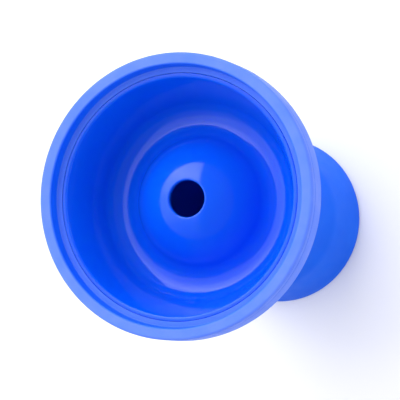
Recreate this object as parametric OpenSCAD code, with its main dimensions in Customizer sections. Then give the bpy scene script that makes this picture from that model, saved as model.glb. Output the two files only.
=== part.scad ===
// Centre-spire smoking bowl in moulded silicone, with a lift-out inner bowl.
// +Z runs along the axis of revolution from the foot to the mouth.
// The origin is the centre of the foot's flat end face.

/* [Overall] */
// Height from the foot's end face to the rim
total_h = 100; // [92:1:110]
// Outer diameter of the lip, the widest part
lip_d = 80; // [78:0.5:86]
// Outer diameter of the foot at its end face
foot_d = 51; // [46:0.5:56]

/* [Lip and step] */
// Height of the thick band round the lip
lip_h = 9.5; // [7:0.5:12]
// Radius of the lip's outer top edge
lip_edge_r = 0.7; // [0.4:0.1:0.8]
// Diameter of the step's wall just below the rim
rim_in_d = 73.3; // [72.8:0.1:74]
// Diameter of the step's floor, after the wall's draft
step_d = 72.6; // [71.5:0.1:72.8]
// Depth of the step that a lid or cover rests in
step_depth = 3.8; // [3:0.1:5]
// Depth below the rim of the first fine line round the lip
line_1_depth = 1; // [1:0.1:2]
// Depth below the rim of the second fine line round the lip
line_2_depth = 3.1; // [2.6:0.1:5]

/* [Inner bowl] */
// Wall thickness of the lift-out inner bowl
bowl_t = 1.4; // [1.2:0.1:1.6]
// Inner diameter of the inner bowl at its mouth
mouth_d = 66.5; // [65:0.5:67]
// Diameter of the valley ring at the bottom of the trough
valley_d = 46.4; // [44:0.2:48]
// Depth of the valley below the rim
valley_depth = 24.3; // [22:0.1:27]
// Radius of the trough's floor
trough_r = 5.5; // [4.5:0.1:6]
// Depth below the rim of the dome's crown, as if it had no hole
crown_depth = 10; // [9:0.1:13]
// Diameter of the hole through the dome
hole_d = 10.4; // [8:0.1:12]
// Radius that rounds the hole's upper edge
hole_edge_r = 0.5; // [0.3:0.1:0.6]
// Gap all round between the inner bowl and its seat
seat_gap = 0.2; // [0.15:0.05:0.3]

/* [Outer body] */
// Thickness of the body's wall behind the inner bowl
body_t = 3.6; // [3:0.1:4]
// Diameter at the waist
waist_d = 33; // [30:0.5:36]
// Height of the waist above the foot's end face
waist_z = 38; // [36:1:44]
// Diameter at the crease between the neck and the foot
crease_d = 43.8; // [40:0.2:45]
// Height of the crease above the foot's end face
crease_z = 15; // [12:0.5:18]
// Radius of the foot's outer bottom edge
foot_edge_r = 0.8; // [0.4:0.1:1.2]

/* [Airway] */
// Diameter of the socket that grips the pipe's stem
socket_d = 22; // [20:0.5:24]
// Length of the socket's straight wall
socket_l = 30; // [25:1:31]
// Height and width of the flared entry below the socket
lead_in = 3; // [2:0.5:4]
// Diameter of the passage through the waist
passage_d = 16; // [12:0.5:18]
// Height above the foot where the passage starts to widen
chamber_z = 48; // [44:1:52]
// Diameter of the chamber's top, below the dome
chamber_d = 39; // [36:0.5:40]

/* [Hidden] */
$fn = 128;

ARC_STEPS = 10;         // segments in each long arc
EDGE_STEPS = 4;         // segments in each rounded edge
LINE_W = 0.3;           // width of each fine line round the lip
LINE_DEPTH = 0.15;      // depth of each fine line round the lip
STEP_FILLET = 0.6;      // rounding of the rim face's inner edge
UNDER_R = 1;            // rounding of the lip's lower edge
UNDER_FILLET = 0.8;     // fillet below the lip, against the wall

lip_r = lip_d / 2;
foot_r = foot_d / 2;
hole_r = hole_d / 2;
valley_r = valley_d / 2;
waist_r = waist_d / 2;
crease_r = crease_d / 2;
ledge_z = total_h - step_depth;
bead_r = bowl_t / 2;

// Trough: a circle whose lowest point is the valley.
trough_z = total_h - valley_depth + trough_r;

// Wall: a straight cone that runs tangent into the bead at the mouth and into the trough.
bead_c = [mouth_d / 2 + bead_r, ledge_z - bead_r];
wall_run = bead_c - [valley_r, trough_z];
wall_slope = atan2(wall_run.x, wall_run.y) - asin((trough_r + bead_r) / norm(wall_run));

// Dome: a sphere on the axis that runs tangent into the trough.
crown_h = total_h - crown_depth - trough_z;
dome_r = (valley_r ^ 2 + crown_h ^ 2 - trough_r ^ 2) / (2 * (trough_r + crown_h));
dome_z = total_h - crown_depth - dome_r;
dome_end = atan2(trough_z - dome_z, valley_r);

// Offsets from the inner bowl's upper face.
seat_off = bowl_t + seat_gap;
skin_off = seat_off + body_t;

// Neck: two arcs that meet at the waist, the upper one tangent to the bowl's outside.
skin_trough = trough_r + skin_off;
neck_dx = waist_r - valley_r;
neck_dz = trough_z - waist_z;
neck_up_r = (neck_dx ^ 2 + neck_dz ^ 2 - skin_trough ^ 2) / (2 * (skin_trough - neck_dx));
neck_up_end = atan2(neck_dz, neck_dx + neck_up_r);
crease_dx = crease_r - waist_r;
crease_dz = waist_z - crease_z;
neck_low_r = (crease_dx ^ 2 + crease_dz ^ 2) / (2 * crease_dx);
neck_low_end = asin(crease_dz / neck_low_r);
foot_slope = atan2(foot_r - crease_r, crease_z);

// Points along an arc, from angle a0 to angle a1.
function arc(c, r, a0, a1, n = ARC_STEPS) =
    [for (i = [0:n]) c + r * [cos(a0 + (a1 - a0) * i / n), sin(a0 + (a1 - a0) * i / n)]];

// Radius of the wall's upper face, offset outwards by off, at height z.
function wall_x(off, z) =
    valley_r + (trough_r + off) / cos(wall_slope) + (z - trough_z) * tan(wall_slope);

// A V-shaped line cut into the lip's side at height z.
function lip_line(z) =
    [[lip_r, z - LINE_W / 2], [lip_r - LINE_DEPTH, z], [lip_r, z + LINE_W / 2]];

// Outside of the body, from the foot's end face up to the lip.
function body_outside() = let (wall_top = total_h - lip_h - UNDER_FILLET)
    concat(
        arc([foot_r - foot_edge_r, foot_edge_r], foot_edge_r, -90, foot_slope, EDGE_STEPS),
        arc([waist_r + neck_low_r, waist_z], neck_low_r, 180 + neck_low_end, 180),
        arc([waist_r + neck_up_r, waist_z], neck_up_r, 180, 180 - neck_up_end),
        arc([valley_r, trough_z], skin_trough, -neck_up_end, -wall_slope),
        [[wall_x(skin_off, wall_top), wall_top]]);

// The lip, from its underside over the rim and down to the step's floor.
function lip_outline() = let (
        under_z = total_h - lip_h,
        rim_in = rim_in_d / 2,
        inner_x = wall_x(skin_off, under_z) + UNDER_FILLET)
    concat(
        [[inner_x, under_z]],
        arc([lip_r - UNDER_R, under_z + UNDER_R], UNDER_R, -90, 0, EDGE_STEPS),
        lip_line(total_h - line_2_depth),
        lip_line(total_h - line_1_depth),
        arc([lip_r - lip_edge_r, total_h - lip_edge_r], lip_edge_r, 0, 90, EDGE_STEPS),
        arc([rim_in + STEP_FILLET, total_h - STEP_FILLET], STEP_FILLET, 90, 180, EDGE_STEPS),
        [[step_d / 2, ledge_z]]);

// Seat for the inner bowl, then the airway down to the foot.
function body_inside() = let (
        seat_r = trough_r + seat_off,
        lip_x = chamber_d / 2,
        seat_end = 180 + acos((valley_r - lip_x) / seat_r))
    concat(
        [[wall_x(seat_off, ledge_z), ledge_z]],
        arc([valley_r, trough_z], seat_r, -wall_slope, seat_end - 360),
        [
            [passage_d / 2, chamber_z],
            [passage_d / 2, lead_in + socket_l + (socket_d - passage_d) / 2],
            [socket_d / 2, lead_in + socket_l],
            [socket_d / 2, lead_in],
            [socket_d / 2 + lead_in, 0]
        ]);

// Upper, visible face of the inner bowl when off is 0, its underside when off is bowl_t.
function bowl_face(off, edge) = concat(
    arc([0, dome_z], dome_r - off, acos((hole_r + edge) / (dome_r - off)), dome_end),
    arc([valley_r, trough_z], trough_r + off, 180 + dome_end, 360 - wall_slope));

function reversed(points) = [for (i = [len(points) - 1:-1:0]) points[i]];

// Silicone body: lip, step, cup wall, waist and foot in one moulding.
module outer_body() {
    color("royalblue")
        rotate_extrude()
            polygon(concat(body_outside(), lip_outline(), body_inside()));
}

// Polished bowl that lifts out of the body: bead, wall, trough, dome and hole.
module inner_bowl() {
    hole_top = dome_z + sqrt((dome_r - hole_edge_r) ^ 2 - (hole_r + hole_edge_r) ^ 2);
    edge_a = asin((hole_r + hole_edge_r) / (dome_r - hole_edge_r));
    color("mediumblue")
        rotate_extrude()
            polygon(concat(
                arc([hole_r + hole_edge_r, hole_top], hole_edge_r, 180, 90 - edge_a, EDGE_STEPS),
                bowl_face(0, hole_edge_r),
                arc(bead_c, bead_r, 180 - wall_slope, -wall_slope, EDGE_STEPS * 2),
                reversed(bowl_face(bowl_t, 0))));
}

outer_body();
inner_bowl();
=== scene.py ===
"""Looks for a silicone water pipe bowl: a satin outer body and a glossy inner bowl that lifts out.

Both pieces are bodies of revolution about +Z. Lengths are in metres, and MM is one millimetre.
"""

import math

import bpy
from mathutils import Matrix, Vector


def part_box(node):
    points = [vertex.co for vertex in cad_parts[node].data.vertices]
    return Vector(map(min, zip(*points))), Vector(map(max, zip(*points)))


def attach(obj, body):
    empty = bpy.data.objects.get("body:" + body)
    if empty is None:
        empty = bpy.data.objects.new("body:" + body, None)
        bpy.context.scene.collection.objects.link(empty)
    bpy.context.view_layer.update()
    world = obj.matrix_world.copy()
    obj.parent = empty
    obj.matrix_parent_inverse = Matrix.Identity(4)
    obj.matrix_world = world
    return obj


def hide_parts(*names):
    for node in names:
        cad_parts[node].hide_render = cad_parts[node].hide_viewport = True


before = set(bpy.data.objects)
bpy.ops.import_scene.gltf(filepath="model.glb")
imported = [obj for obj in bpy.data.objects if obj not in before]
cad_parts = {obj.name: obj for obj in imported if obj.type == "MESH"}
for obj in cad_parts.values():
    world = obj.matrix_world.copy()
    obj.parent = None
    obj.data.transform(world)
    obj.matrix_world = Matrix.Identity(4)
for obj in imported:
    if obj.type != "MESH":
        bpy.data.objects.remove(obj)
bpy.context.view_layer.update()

MM = 0.001

# ---------------------------------------------------------------------------
# Sizes: the CAD's driving dimensions, and small roundings of the visual model's own
# ---------------------------------------------------------------------------

BODY_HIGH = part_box("outer_body")[1]
TOTAL_H = BODY_HIGH.z
LIP_R = BODY_HIGH.x

FOOT_R = 25.5 * MM
FOOT_EDGE_R = 0.8 * MM
CREASE_R = 21.9 * MM
CREASE_Z = 15 * MM
# Length on each side of the crease that is bent smooth. The CAD's crease is sharp.
CREASE_SOFT = 1.5 * MM
WAIST_R = 16.5 * MM
WAIST_Z = 38 * MM
BODY_T = 3.6 * MM

LIP_H = 9.5 * MM
LIP_EDGE_R = 0.7 * MM
RIM_IN_R = 36.65 * MM
RIM_IN_EDGE_R = 0.6 * MM
STEP_R = 36.3 * MM
STEP_CORNER_R = 0.35 * MM
LEDGE_Z = TOTAL_H - 3.8 * MM
LEDGE_EDGE_R = 0.12 * MM
LINE_DEPTHS = (1 * MM, 3.1 * MM)
# The fine lines are a little wider and deeper than in the CAD, so that they show.
LINE_W = 0.36 * MM
LINE_CUT = 0.25 * MM
UNDER_R = 1 * MM
UNDER_FILLET = 0.8 * MM

BOWL_T = 1.4 * MM
MOUTH_R = 33.25 * MM
VALLEY_R = 23.2 * MM
VALLEY_DEPTH = 24.3 * MM
TROUGH_R = 5.5 * MM
CROWN_DEPTH = 10 * MM
HOLE_R = 5.2 * MM
HOLE_EDGE_R = 0.5 * MM
SEAT_GAP = 0.2 * MM
# Gap between the pieces where it is seen, at the ledge, tighter than in the seat below it.
SEAM_GAP = 0.05 * MM
# Outer radius of the inner bowl's top edge. The CAD's edge is a full half-round.
RIM_EDGE_R = 0.22 * MM

SOCKET_R = 11 * MM
SOCKET_L = 30 * MM
LEAD_IN = 3 * MM
PASSAGE_R = 8 * MM
CHAMBER_Z = 48 * MM
CHAMBER_R = 19.5 * MM

SEGMENTS = 288
# Edges that turn by more than this are shaded sharp.
SHARP_ANGLE = math.radians(40)

# ---------------------------------------------------------------------------
# Derived circles that the profiles run along, as (radius, height) points
# ---------------------------------------------------------------------------

BEAD_R = BOWL_T / 2
TROUGH_C = Vector((VALLEY_R, TOTAL_H - VALLEY_DEPTH + TROUGH_R))
BEAD_C = Vector((MOUTH_R + BEAD_R, LEDGE_Z - BEAD_R))
WALL_RUN = BEAD_C - TROUGH_C
WALL_SLOPE = math.atan2(WALL_RUN.x, WALL_RUN.y) - math.asin((TROUGH_R + BEAD_R) / WALL_RUN.length)

CROWN_H = TOTAL_H - CROWN_DEPTH - TROUGH_C.y
DOME_R = (VALLEY_R**2 + CROWN_H**2 - TROUGH_R**2) / (2 * (TROUGH_R + CROWN_H))
DOME_C = Vector((0, TOTAL_H - CROWN_DEPTH - DOME_R))
DOME_END = math.atan2(TROUGH_C.y - DOME_C.y, VALLEY_R)

SEAT_OFF = BOWL_T + SEAT_GAP
SKIN_OFF = SEAT_OFF + BODY_T


def arc(centre, r, a0, a1, steps):
    """Points along an arc from angle a0 to a1, in radians."""
    turn = [a0 + (a1 - a0) * i / steps for i in range(steps + 1)]
    return [(centre[0] + r * math.cos(a), centre[1] + r * math.sin(a)) for a in turn]


def bend(a, b, c, steps):
    """Points along a curve from a to c that is pulled towards the corner b."""
    a, b, c = Vector(a), Vector(b), Vector(c)
    share = [i / steps for i in range(steps + 1)]
    return [tuple(a * (1 - t) ** 2 + b * (2 * t * (1 - t)) + c * t * t) for t in share]


def line(a, b, steps):
    """Points along a straight line from a to b, without a itself."""
    a, b = Vector(a), Vector(b)
    return [tuple(a.lerp(b, i / steps)) for i in range(1, steps + 1)]


def wall_point(off, z):
    """Point at height z on the wall's upper face, offset outwards by off."""
    r = VALLEY_R + (TROUGH_R + off) / math.cos(WALL_SLOPE) + (z - TROUGH_C.y) * math.tan(WALL_SLOPE)
    return r, z


# ---------------------------------------------------------------------------
# Outer body
# ---------------------------------------------------------------------------


def foot_and_neck():
    """Outside of the body from the foot's end face up to the waist, with a softened crease."""
    low_dx, low_dz = CREASE_R - WAIST_R, WAIST_Z - CREASE_Z
    low_r = (low_dx**2 + low_dz**2) / (2 * low_dx)
    low_end = math.asin(low_dz / low_r)
    neck = arc((WAIST_R + low_r, WAIST_Z), low_r, math.pi + low_end - CREASE_SOFT / low_r, math.pi, 24)
    foot_slope = math.atan2(FOOT_R - CREASE_R, CREASE_Z)
    crease = Vector((CREASE_R, CREASE_Z))
    cone = crease + Vector((math.sin(foot_slope), -math.cos(foot_slope))) * CREASE_SOFT
    foot = arc((FOOT_R - FOOT_EDGE_R, FOOT_EDGE_R), FOOT_EDGE_R, -math.pi / 2, foot_slope, 8)
    foot += line(foot[-1], cone, 6)
    return foot + bend(cone, crease, neck[0], 10)[1:] + neck[1:]


def cup_outside():
    """Outside of the body from the waist up to the fillet below the lip."""
    skin = TROUGH_R + SKIN_OFF
    dx, dz = WAIST_R - VALLEY_R, TROUGH_C.y - WAIST_Z
    up_r = (dx * dx + dz * dz - skin * skin) / (2 * (skin - dx))
    up_end = math.atan2(dz, dx + up_r)
    points = arc((WAIST_R + up_r, WAIST_Z), up_r, math.pi, math.pi - up_end, 32)[1:]
    points += arc(TROUGH_C, skin, -up_end, -WALL_SLOPE, 12)[1:]
    under_z = TOTAL_H - LIP_H
    inner = wall_point(SKIN_OFF, under_z)
    top = wall_point(SKIN_OFF, under_z - UNDER_FILLET)
    points += line(points[-1], top, 6)
    return points + bend(top, inner, (inner[0] + UNDER_FILLET, under_z), 6)[1:]


def lip_line(z):
    """A fine groove round the lip's side at height z, flatter at its bottom."""
    shoulder = LIP_R - LINE_CUT * 0.7
    return [
        (LIP_R, z - LINE_W / 2),
        (shoulder, z - LINE_W / 5),
        (LIP_R - LINE_CUT, z),
        (shoulder, z + LINE_W / 5),
        (LIP_R, z + LINE_W / 2),
    ]


def lip():
    """The lip, from its underside over the rim and down the step to its floor."""
    under = (LIP_R - UNDER_R, TOTAL_H - LIP_H + UNDER_R)
    points = arc(under, UNDER_R, -math.pi / 2, 0, 8)
    for depth in reversed(LINE_DEPTHS):
        points += lip_line(TOTAL_H - depth)
    points += arc((LIP_R - LIP_EDGE_R, TOTAL_H - LIP_EDGE_R), LIP_EDGE_R, 0, math.pi / 2, 10)
    rim_edge = (RIM_IN_R + RIM_IN_EDGE_R, TOTAL_H - RIM_IN_EDGE_R)
    points += arc(rim_edge, RIM_IN_EDGE_R, math.pi / 2, math.pi, 8)
    corner = (STEP_R, LEDGE_Z)
    above = Vector(corner).lerp(Vector(points[-1]), STEP_CORNER_R / (points[-1][1] - LEDGE_Z))
    return points + bend(above, corner, (STEP_R - STEP_CORNER_R, LEDGE_Z), 6)


def seat_and_airway():
    """Inside of the body, from the ledge's edge down past the inner bowl to the socket."""
    seam_r = wall_point(BOWL_T + SEAM_GAP, BEAD_C.y)[0]
    edge = (seam_r + LEDGE_EDGE_R, LEDGE_Z - LEDGE_EDGE_R)
    points = arc(edge, LEDGE_EDGE_R, math.pi / 2, math.pi, 5)
    points += [(seam_r, BEAD_C.y), wall_point(SEAT_OFF, BEAD_C.y - BEAD_R)]
    seat_r = TROUGH_R + SEAT_OFF
    seat_end = math.acos((VALLEY_R - CHAMBER_R) / seat_r)
    points += arc(TROUGH_C, seat_r, -WALL_SLOPE, seat_end - math.pi, 24)
    points += line(points[-1], (PASSAGE_R, CHAMBER_Z), 6)
    points += [
        (PASSAGE_R, LEAD_IN + SOCKET_L + SOCKET_R - PASSAGE_R),
        (SOCKET_R, LEAD_IN + SOCKET_L),
        (SOCKET_R, LEAD_IN),
        (SOCKET_R + LEAD_IN, 0),
    ]
    return points


# ---------------------------------------------------------------------------
# Inner bowl
# ---------------------------------------------------------------------------


def bowl_face(off, edge, steps):
    """The inner bowl's upper face when off is 0, and its underside when off is BOWL_T."""
    r = DOME_R - off
    points = arc(DOME_C, r, math.acos((HOLE_R + edge) / r), DOME_END, steps)
    trough = arc(TROUGH_C, TROUGH_R + off, math.pi + DOME_END, 2 * math.pi - WALL_SLOPE, steps)
    return points + trough[1:]


def inner_bowl():
    """Outline of the inner bowl: hole edge, dome, trough, wall and top edge, then the underside.

    It is built clockwise and turned round at the end, as lathe() needs it anticlockwise.
    """
    r = DOME_R - HOLE_EDGE_R
    out = HOLE_R + HOLE_EDGE_R
    edge_c = (out, DOME_C.y + math.sqrt(r * r - out * out))
    points = arc(edge_c, HOLE_EDGE_R, math.pi, math.pi / 2 - math.asin(out / r), 8)
    points += bowl_face(0, HOLE_EDGE_R, 48)[1:]
    bead = arc(BEAD_C, BEAD_R, math.pi - WALL_SLOPE, math.pi / 2, 8)
    points += line(points[-1], bead[0], 16) + bead[1:]
    outer_r = wall_point(BOWL_T, BEAD_C.y)[0]
    points += arc((outer_r - RIM_EDGE_R, LEDGE_Z - RIM_EDGE_R), RIM_EDGE_R, math.pi / 2, 0, 6)
    points += [(outer_r, BEAD_C.y)]
    under = bowl_face(BOWL_T, 0, 24)[::-1]
    points += line(points[-1], under[0], 8) + under[1:]
    return points[::-1]


def lathe(name, profile):
    """Closed mesh of the profile turned about +Z, shaded smooth.

    The profile runs anticlockwise, with radius to the right and height up, so that the faces
    point outwards.
    """
    count = len(profile)
    verts = []
    for i in range(SEGMENTS):
        a = 2 * math.pi * i / SEGMENTS
        verts += [(r * math.cos(a), r * math.sin(a), z) for r, z in profile]
    faces = []
    for i in range(SEGMENTS):
        here, there = i * count, (i + 1) % SEGMENTS * count
        for j in range(count):
            k = (j + 1) % count
            faces.append((here + j, there + j, there + k, here + k))
    mesh = bpy.data.meshes.new(name)
    mesh.from_pydata(verts, [], faces)
    mesh.validate()
    mesh.shade_smooth()
    mesh.set_sharp_from_angle(angle=SHARP_ANGLE)
    piece = bpy.data.objects.new(name, mesh)
    bpy.context.scene.collection.objects.link(piece)
    return piece


# ---------------------------------------------------------------------------
# Node trees
# ---------------------------------------------------------------------------


class Tree:
    """Short calls for building the node tree of a material or of the world."""

    def __init__(self, owner):
        owner.use_nodes = True
        self.tree = owner.node_tree
        self.tree.nodes.clear()

    def node(self, kind, **settings):
        made = self.tree.nodes.new(kind)
        for key, value in settings.items():
            setattr(made, key, value)
        return made

    def feed(self, socket, value):
        """Links value to the socket if it comes from a node, and sets it otherwise."""
        if isinstance(value, bpy.types.NodeSocket):
            self.tree.links.new(value, socket)
        else:
            socket.default_value = value

    def math(self, operation, *values):
        made = self.node("ShaderNodeMath", operation=operation)
        for socket, value in zip(made.inputs, values):
            self.feed(socket, value)
        return made.outputs[0]

    def spread(self, value, low, high, to_low=0.0, to_high=1.0):
        """Maps low..high to to_low..to_high and stops at both ends."""
        made = self.node("ShaderNodeMapRange")
        for socket, number in zip(made.inputs, (value, low, high, to_low, to_high)):
            self.feed(socket, number)
        return made.outputs[0]

    def curve(self, value, low, high, stops):
        """Grey level that runs through the (position, level) stops, positions in low..high."""
        ramp = self.node("ShaderNodeValToRGB")
        ramp.color_ramp.interpolation = "EASE"
        marks = ramp.color_ramp.elements
        while len(marks) < len(stops):
            marks.new(1)
        for mark, (position, level) in zip(marks, stops):
            mark.position = (position - low) / (high - low)
            mark.color = (level, level, level, 1)
        self.feed(ramp.inputs[0], self.spread(value, low, high))
        return ramp.outputs["Color"]

    def noise(self, where, scale, detail=3.0):
        made = self.node("ShaderNodeTexNoise")
        for key, value in (("Vector", where), ("Scale", scale), ("Detail", detail)):
            self.feed(made.inputs[key], value)
        return made.outputs["Fac"]

    def blend(self, share, a, b):
        """Colour between a and b."""
        made = self.node("ShaderNodeMix", data_type="RGBA")
        for socket, value in zip((made.inputs[0], made.inputs[6], made.inputs[7]), (share, a, b)):
            self.feed(socket, value)
        return made.outputs[2]

    def bump(self, height, strength, distance, under=None):
        made = self.node("ShaderNodeBump")
        self.feed(made.inputs["Height"], height)
        self.feed(made.inputs["Strength"], strength)
        self.feed(made.inputs["Distance"], distance)
        if under is not None:
            self.feed(made.inputs["Normal"], under)
        return made.outputs["Normal"]


class Surface(Tree):
    """A material with one Principled shader, in object coordinates."""

    def __init__(self, name):
        self.material = bpy.data.materials.new(name)
        super().__init__(self.material)
        out = self.node("ShaderNodeOutputMaterial")
        self.shader = self.node("ShaderNodeBsdfPrincipled")
        self.tree.links.new(self.shader.outputs[0], out.inputs["Surface"])
        self.where = self.node("ShaderNodeTexCoord").outputs["Object"]
        split = self.node("ShaderNodeSeparateXYZ")
        self.feed(split.inputs[0], self.where)
        self.x, self.y, self.z = split.outputs
        squares = [self.math("MULTIPLY", side, side) for side in (self.x, self.y)]
        self.r = self.math("SQRT", self.math("ADD", *squares))

    def clouds(self, scale, low, high, to_low=0.0, to_high=1.0, detail=3.0):
        """Slow change over the surface, from to_low to to_high."""
        return self.spread(self.noise(self.where, scale, detail), low, high, to_low, to_high)

    def waves(self, scale, strength, distance, under=None):
        """Bump from even noise, on top of the bump under it if there is one."""
        return self.bump(self.noise(self.where, scale, 2.0), strength, distance, under)

    def set(self, **values):
        """Sets or links the shader's sockets, with _ for a space in their names."""
        for key, value in values.items():
            self.feed(self.shader.inputs[key.replace("_", " ")], value)


# ---------------------------------------------------------------------------
# Materials
# ---------------------------------------------------------------------------

BODY_BLUE = (0.001, 0.112, 0.82, 1)
BODY_BLUE_2 = (0.003, 0.126, 0.86, 1)
# Paler blue painted on the lip and ledge as sheen, standing in for the bright room reflected there.
LIP_PAINTED_SHEEN_BLUE = (0.122, 0.228, 0.86, 1)
BOWL_BLUE = (0.001, 0.09, 0.79, 1)
BOWL_BLUE_2 = (0.001, 0.102, 0.83, 1)
# Lighter blue painted in the airway as a glow, standing in for light that comes through the silicone.
AIRWAY_PAINTED_GLOW_BLUE = (0.001, 0.14, 0.97, 1)
FLOOR_WHITE = (0.9, 0.9, 0.905, 1)
FLOOR_WHITE_2 = (0.93, 0.93, 0.93, 1)

SILICONE_IOR = 1.45
# Light scatters into the silicone, and blue goes furthest.
SCATTER = {"Subsurface_Scale": 3 * MM, "Subsurface_Radius": (0.1, 0.3, 1)}

# Share of the full painted sheen on the lip's side and on the ledge. The rim has all of it.
SIDE_PAINTED_SHEEN = 0.8
LEDGE_PAINTED_SHEEN = 0.6
PAINTED_SHEEN_FADE = 1 * MM

DOME_ROUGHNESS = 0.09
WALL_ROUGHNESS = 0.07
STREAK_ROUGHNESS = 0.12
# Steps of the streaks' noise per radian round the axis, and per metre out from it, where it
# is drawn out long.
STREAKS_ROUND = 4.0
STREAKS_OUT = 40.0


def painted_sheen(m):
    """How much painted sheen pales the body, 0 to 1: on the lip, and in a thin band at the ledge. It
    stands in for reflected light.
    """
    past_step = m.spread(m.r, RIM_IN_R, RIM_IN_R + RIM_IN_EDGE_R)
    above_wall = m.spread(m.z, TOTAL_H - LIP_H - PAINTED_SHEEN_FADE, TOTAL_H - LIP_H + PAINTED_SHEEN_FADE)
    height = m.spread(m.z, TOTAL_H - LIP_EDGE_R, TOTAL_H, SIDE_PAINTED_SHEEN, 1.0)
    on_lip = m.math("MULTIPLY", m.math("MULTIPLY", past_step, above_wall), height)
    off_ledge = m.math("ABSOLUTE", m.math("SUBTRACT", m.z, LEDGE_Z))
    at_ledge = m.spread(off_ledge, 0.1 * MM, 0.5 * MM, LEDGE_PAINTED_SHEEN, 0.0)
    on_ledge = m.math("MULTIPLY", at_ledge, m.spread(m.r, STEP_R, LIP_R, 1.0, 0.0))
    cloudy = m.clouds(scale=130, low=0.3, high=0.7, to_low=0.75)
    return m.math("MULTIPLY", m.math("MAXIMUM", on_lip, on_ledge), cloudy)


def satin_silicone():
    """Matte moulded silicone: a fine blasted texture, a painted sheen that pales the lip and ledge,
    and a painted glow in the airway.
    """
    m = Surface("satin_silicone")
    m.set(IOR=SILICONE_IOR, Specular_IOR_Level=0.15, Sheen_Weight=0.02, Sheen_Roughness=0.4)
    m.set(Subsurface_Weight=0.15, **SCATTER)
    colour = m.blend(m.clouds(scale=70, low=0.35, high=0.65), BODY_BLUE, BODY_BLUE_2)
    # Painted glow: the airway is blended towards a lighter blue, in place of light reaching into the
    # hole.
    airway_painted_glow = m.spread(m.r, PASSAGE_R, WAIST_R, 1.0, 0.0)
    colour = m.blend(airway_painted_glow, colour, AIRWAY_PAINTED_GLOW_BLUE)
    # Painted sheen: the lip and ledge are blended towards a paler blue in place of reflected light.
    m.set(Base_Color=m.blend(painted_sheen(m), colour, LIP_PAINTED_SHEEN_BLUE))
    m.set(Roughness=m.clouds(scale=240, low=0.3, high=0.7, to_low=0.42, to_high=0.54, detail=4.0))
    grain = m.waves(scale=4200, strength=0.12, distance=0.05 * MM)
    m.set(Normal=m.waves(scale=90, strength=0.12, distance=0.1 * MM, under=grain))
    return m.material


def polishing_streaks(m):
    """Extra roughness in streaks that fan out from the hole and fade away from it."""
    fan = m.node("ShaderNodeCombineXYZ")
    m.feed(fan.inputs[0], m.math("MULTIPLY", m.math("ARCTAN2", m.y, m.x), STREAKS_ROUND))
    m.feed(fan.inputs[1], m.math("MULTIPLY", m.r, STREAKS_OUT))
    streak = m.spread(m.noise(fan.outputs[0], 4.0), 0.4, 0.7, 0.0, STREAK_ROUGHNESS)
    near_hole = m.spread(m.r, HOLE_R, 3 * HOLE_R, 1.0, 0.0)
    return m.math("MULTIPLY", streak, near_hole)


def glossy_silicone():
    """Polished moulded silicone: slight waves, and faint polishing streaks round the hole."""
    m = Surface("glossy_silicone")
    m.set(IOR=SILICONE_IOR, Specular_IOR_Level=0.5, Subsurface_Weight=0.4, **SCATTER)
    m.set(Base_Color=m.blend(m.clouds(scale=45, low=0.35, high=0.65), BOWL_BLUE, BOWL_BLUE_2))
    polish = m.spread(m.r, DOME_R * 0.8, VALLEY_R, DOME_ROUGHNESS, WALL_ROUGHNESS)
    m.set(Roughness=m.math("ADD", polish, polishing_streaks(m)))
    m.set(Normal=m.waves(scale=110, strength=0.1, distance=0.1 * MM))
    return m.material


def white_acrylic():
    """White acrylic sheet with a faint gloss."""
    m = Surface("white_acrylic")
    tone = m.clouds(scale=2.0, low=0.3, high=0.7, detail=2.0)
    m.set(Base_Color=m.blend(tone, FLOOR_WHITE, FLOOR_WHITE_2))
    m.set(Roughness=m.clouds(scale=3.0, low=0.3, high=0.7, to_low=0.14, to_high=0.17, detail=2.0))
    m.set(Normal=m.waves(scale=900, strength=0.02, distance=0.02 * MM))
    return m.material


# ---------------------------------------------------------------------------
# Camera, light and floor
# ---------------------------------------------------------------------------

CAMERA_AIM = Vector((0.45, 10.05, 50)) * MM
CAMERA_DISTANCE = 741.3 * MM
CAMERA_ELEVATION = math.radians(70.23)
CAMERA_ROLL = math.radians(-77.02)
CAMERA_LENS = 225
SENSOR_WIDTH = 36
CAMERA_NEAR = 10 * MM

FLOOR_R = 3
FLOOR_SIDES = 64


def make_camera():
    """Camera above the -Y side, rolled so that the foot points to the right of the picture."""
    camera = bpy.data.objects.new("camera", bpy.data.cameras.new("camera"))
    bpy.context.scene.collection.objects.link(camera)
    back = Vector((0, -math.cos(CAMERA_ELEVATION), math.sin(CAMERA_ELEVATION)))
    turn = (-back).to_track_quat("-Z", "Y").to_matrix().to_4x4()
    spot = Matrix.Translation(CAMERA_AIM + back * CAMERA_DISTANCE)
    camera.matrix_world = spot @ turn @ Matrix.Rotation(CAMERA_ROLL, 4, "Z")
    camera.data.lens = CAMERA_LENS
    camera.data.sensor_width = SENSOR_WIDTH
    camera.data.clip_start = CAMERA_NEAR
    bpy.context.scene.camera = camera
    return camera


# Light in the room, by direction, as (angle, level) stops in degrees and shares of the full
# strength. The angles of the key and the fill start at the camera's direction as seen from the
# bowl, and run to the camera's left and up its frame. The horizon's run up from the level.
KEY_STRENGTH = 4.7
KEY_LEFT = ((15, 0), (23, 0.9), (50, 1), (78, 1), (92, 0.4), (102, 0))
KEY_UP_LOW = ((-60, 0), (-45, 0.04), (-30, 0.09), (-18, 0.24), (5, 0.32))
KEY_UP_HIGH = ((25, 0.65), (43, 1), (62, 0.75), (76, 0.5), (88, 0.15))
KEY_UP = KEY_UP_LOW + KEY_UP_HIGH
FILL_STRENGTH = 1.8
FILL_LEFT = ((-90, 0), (-80, 1), (-56, 1), (-48, 0))
FILL_UP = ((-35, 0), (-20, 1), (40, 1), (55, 0))
HORIZON_STRENGTH = 0.5
HORIZON = ((-10, 1), (6, 1), (20, 0.3), (35, 0.08), (90, 0.05))

# Even light from all round, and the share of it that reflections see.
AMBIENT_STRENGTH = 0.85
AMBIENT_SHEEN = 0.25


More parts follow.
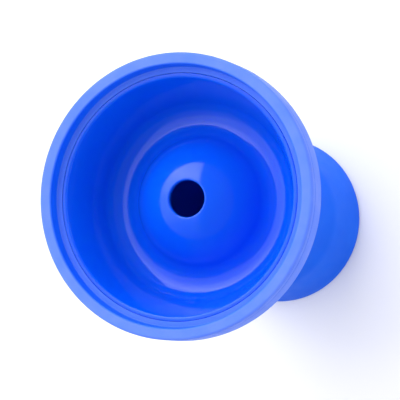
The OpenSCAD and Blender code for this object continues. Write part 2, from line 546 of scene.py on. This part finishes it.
def make_world(camera):
    """Studio as light by direction: a large softbox, a smaller fill, a horizon and ambient light."""
    world = bpy.data.worlds.new("studio")
    bpy.context.scene.world = world
    t = Tree(world)
    out = t.node("ShaderNodeOutputWorld")
    room = t.node("ShaderNodeBackground")
    t.feed(out.inputs["Surface"], room.outputs[0])
    towards = t.node("ShaderNodeTexCoord").outputs["Generated"]

    def along(axis):
        made = t.node("ShaderNodeVectorMath", operation="DOT_PRODUCT")
        t.feed(made.inputs[0], towards)
        t.feed(made.inputs[1], axis)
        return made.outputs["Value"]

    right, up, back = camera.matrix_world.to_3x3().col
    left_deg = t.math("DEGREES", t.math("ARCTAN2", along(-right), along(back)))
    up_deg = t.math("DEGREES", t.math("ARCSINE", along(up)))
    high_deg = t.math("DEGREES", t.math("ARCSINE", along((0, 0, 1))))

    def softbox(left_stops, up_stops, strength):
        across = t.curve(left_deg, -180, 180, left_stops)
        upwards = t.curve(up_deg, -90, 90, up_stops)
        return t.math("MULTIPLY", t.math("MULTIPLY", across, upwards), strength)

    key = softbox(KEY_LEFT, KEY_UP, KEY_STRENGTH)
    fill = softbox(FILL_LEFT, FILL_UP, FILL_STRENGTH)
    horizon = t.math("MULTIPLY", t.curve(high_deg, -90, 90, HORIZON), HORIZON_STRENGTH)
    total = t.math("ADD", t.math("ADD", key, fill), horizon)
    glossy = t.node("ShaderNodeLightPath").outputs["Is Glossy Ray"]
    ambient = t.spread(glossy, 0.0, 1.0, AMBIENT_STRENGTH, AMBIENT_STRENGTH * AMBIENT_SHEEN)
    total = t.math("ADD", total, ambient)
    t.feed(room.inputs["Strength"], total)


def make_floor():
    """Large round sheet under the foot."""
    mesh = bpy.data.meshes.new("floor")
    ring = arc((0, 0), FLOOR_R, 0, 2 * math.pi, FLOOR_SIDES)[:-1]
    mesh.from_pydata([(x, y, 0) for x, y in ring], [], [tuple(range(FLOOR_SIDES))])
    mesh.materials.append(white_acrylic())
    floor = bpy.data.objects.new("floor", mesh)
    bpy.context.scene.collection.objects.link(floor)


# ---------------------------------------------------------------------------
# The scene
# ---------------------------------------------------------------------------

bpy.context.scene.view_settings.view_transform = "Standard"
make_floor()
make_world(make_camera())

body = lathe("body_skin", foot_and_neck() + cup_outside() + lip() + seat_and_airway())
body.data.materials.append(satin_silicone())
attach(body, "body")
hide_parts("outer_body")

bowl = lathe("bowl_skin", inner_bowl())
bowl.data.materials.append(glossy_silicone())
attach(bowl, "bowl")
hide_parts("inner_bowl")
